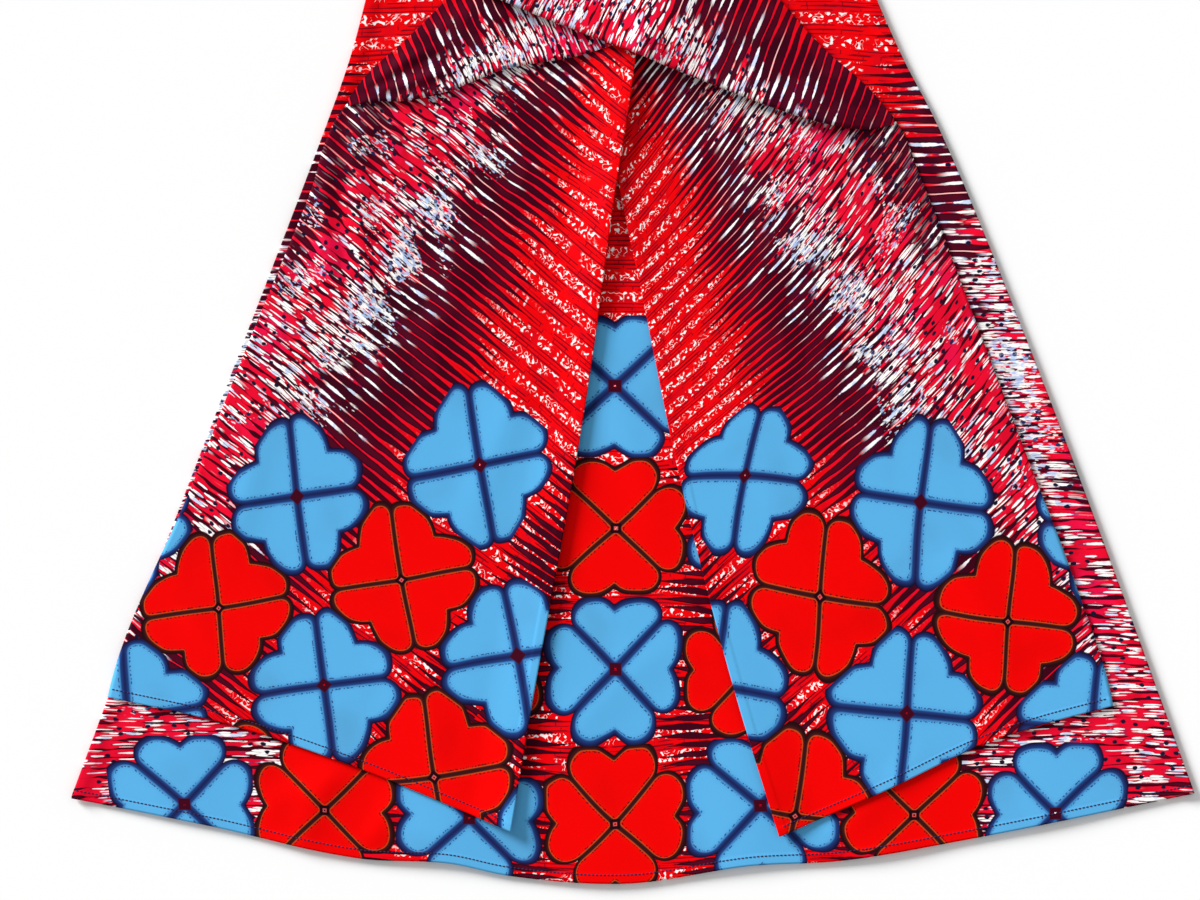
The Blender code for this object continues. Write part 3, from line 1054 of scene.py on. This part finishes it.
# The upper wrap: the other folded band of the cotton, sewn in at the left side seam and
# laid over the lower one to the right hip. Its lower fold stands up and shades the cloth.
WRAP_OVER = [
    (-230, 190, 362),
    (-107, 131, 314),
    (-12, 93, 259),
    (64, 63, 189),
    (117, 43, 131),
    (150, 33, 94),
    (186, 28, 62),
    (208, 31, 37),
]
OVER_PRINT = [
    (168, 80, 1.62, 2.70),
    (150, 33, 2.15, 2.70),
    (102, 148, 1.62, 3.50),
    (64, 63, 2.40, 3.50),
    (45, 211, 1.62, 4.22),
    (-12, 93, 2.95, 4.22),
    (-30, 272, 1.62, 5.10),
    (-107, 131, 3.20, 5.10),
]
OVER_CREASES = [
    (-60, 150, 60, 95, -5, 10, 1.6),
    (20, 160, 120, 80, 5, 12, 1.5),
    (-150, 200, -40, 160, 4, 12, 1.3),
    (60, 150, 140, 80, -4, 9, 1.1),
]
wrap_over_low, wrap_over_high = edge_from(WRAP_OVER, 1), edge_from(WRAP_OVER, 2)


def wrap_over_under(x, y):
    layers = on_left_overlay(x, y, 2 * SOONER) + on_right_overlay(x, y, 2 * SOONER)
    layers = layers + on_wrap_under(x, y, SOONER)
    below = below_wraps(x, y) + creases(UNDER_CREASES, x, y) + np.maximum(under_fold(x, y), 0)
    reach = (1 - step(150 * MM, 204 * MM, x)) * step(-200 * MM, -110 * MM, x)
    own = fold_line(y - wrap_over_low(x), FOLD_RISE * reach) + creases(OVER_CREASES, x, y)
    return over_front(x, y) + LAYER * layers + below + own


wrap_over = lay(
    "upper_wrap_cloth",
    (150, 60),
    (
        bodice_left,
        lambda y: WRAP_OVER[-1][0] * MM + 0 * y,
        wrap_over_low,
        wrap_over_high,
    ),
    wrap_over_under,
    OVER_PRINT,
    skirt_cotton,
    up=([0, 0.25, 1], [0, 0.10, 1]),
)
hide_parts("wrap_over")

# The floor that the dress is laid on: a pale, plain sheet, a hair lower than the cloth
# so that they don't fight for the same place.
FLOOR = 6.0
FLOOR_DOWN = 0.2 * MM
FLOOR_WHITE = (0.93, 0.93, 0.93, 1)
bm = bmesh.new()
bmesh.ops.create_grid(bm, x_segments=1, y_segments=1, size=FLOOR / 2)
floor_mesh = bpy.data.meshes.new("floor")
bm.to_mesh(floor_mesh)
bm.free()
floor = bpy.data.objects.new("floor", floor_mesh)
floor.location.z = -FLOOR_DOWN
paper = bpy.data.materials.new("pale_floor")
paper.use_nodes = True
paper_look = paper.node_tree.nodes["Principled BSDF"]
paper_look.inputs["Base Color"].default_value = FLOOR_WHITE
paper_look.inputs["Roughness"].default_value = 0.9
paper_look.inputs["Specular IOR Level"].default_value = 0.0
floor_mesh.materials.append(paper)
bpy.context.scene.collection.objects.link(floor)

# Soft studio light: a broad key from the upper left, which throws the shadows to the
# lower right, and an even white fill from all round.
FILL = 0.49
KEY_POWER = 5.35
KEY_BROAD = 0.36
KEY_TURN = (0, np.radians(-70), np.radians(-40))
world = bpy.data.worlds.new("studio")
world.use_nodes = True
fill = world.node_tree.nodes["Background"]
fill.inputs["Color"].default_value = (1.0, 1.0, 1.0, 1)
fill.inputs["Strength"].default_value = FILL
bpy.context.scene.world = world
key_light = bpy.data.lights.new("key", "SUN")
key_light.angle = KEY_BROAD
key_light.energy = KEY_POWER
key = bpy.data.objects.new("key", key_light)
key.rotation_euler = KEY_TURN
bpy.context.scene.collection.objects.link(key)

# The camera looks straight down on the skirt from well above, so the neck and the
# bodice lie past the picture's top edge.
AWAY = 3.0
WIDTH = 0.96            # how much of the floor it sees across
SENSOR = 36
OVER = (-0.0268, -0.2286)
view = bpy.data.cameras.new("camera")
view.sensor_width = SENSOR
view.lens = SENSOR * AWAY / WIDTH
camera = bpy.data.objects.new("camera", view)
camera.location = (*OVER, AWAY)
bpy.context.scene.collection.objects.link(camera)
bpy.context.scene.camera = camera
bpy.context.scene.view_settings.view_transform = "Standard"
